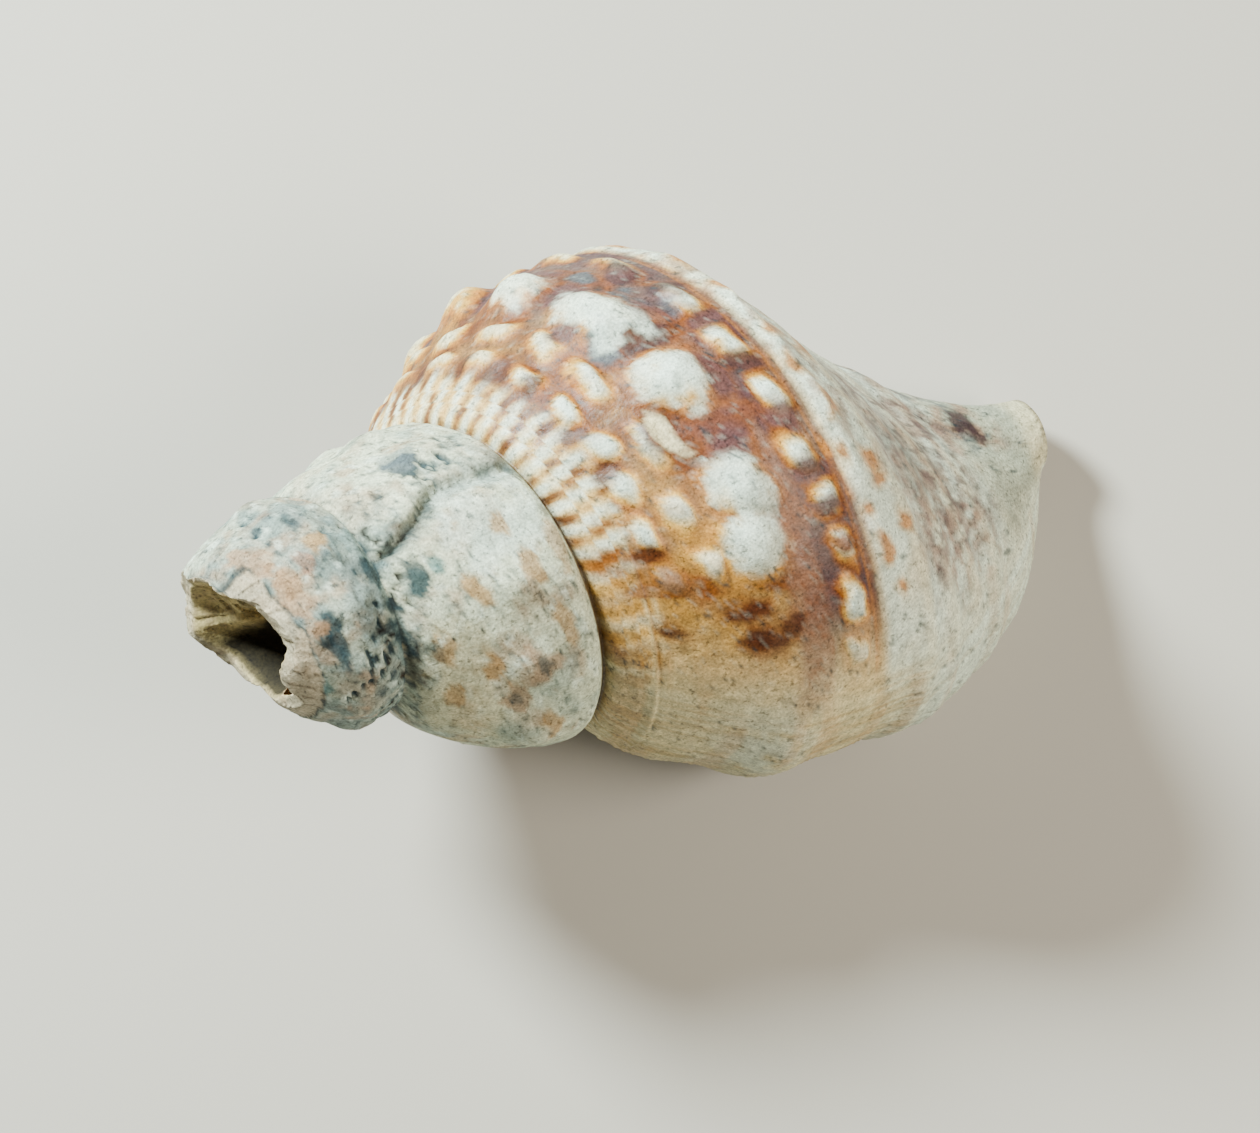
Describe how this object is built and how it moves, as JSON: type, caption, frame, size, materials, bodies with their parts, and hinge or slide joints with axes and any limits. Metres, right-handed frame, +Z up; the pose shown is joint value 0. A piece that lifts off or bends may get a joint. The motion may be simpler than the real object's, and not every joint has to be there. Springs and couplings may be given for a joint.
{
  "type": "triton shell",
  "caption": "Large knobbed triton shell with a broken spire, lying mouth down.",
  "frame": {"origin": "middle of the footprint box, on the plane that the shell rests on", "axes": "+X from the broken spire towards the siphonal canal, +Z up from the plane that the shell rests on mouth down, the outer lip is on the -Y side"},
  "size_m": [0.3179, 0.1989, 0.1556],
  "materials": {
    "shell": "worn, chalky shell with a faint gloss on the last whorl, blotched brown and cream. Matte plastic stands in for shell, which is a hard calcium carbonate."
  },
  "bodies": {
    "root": {"triton_shell": "shell"}
  },
  "joints": []
}
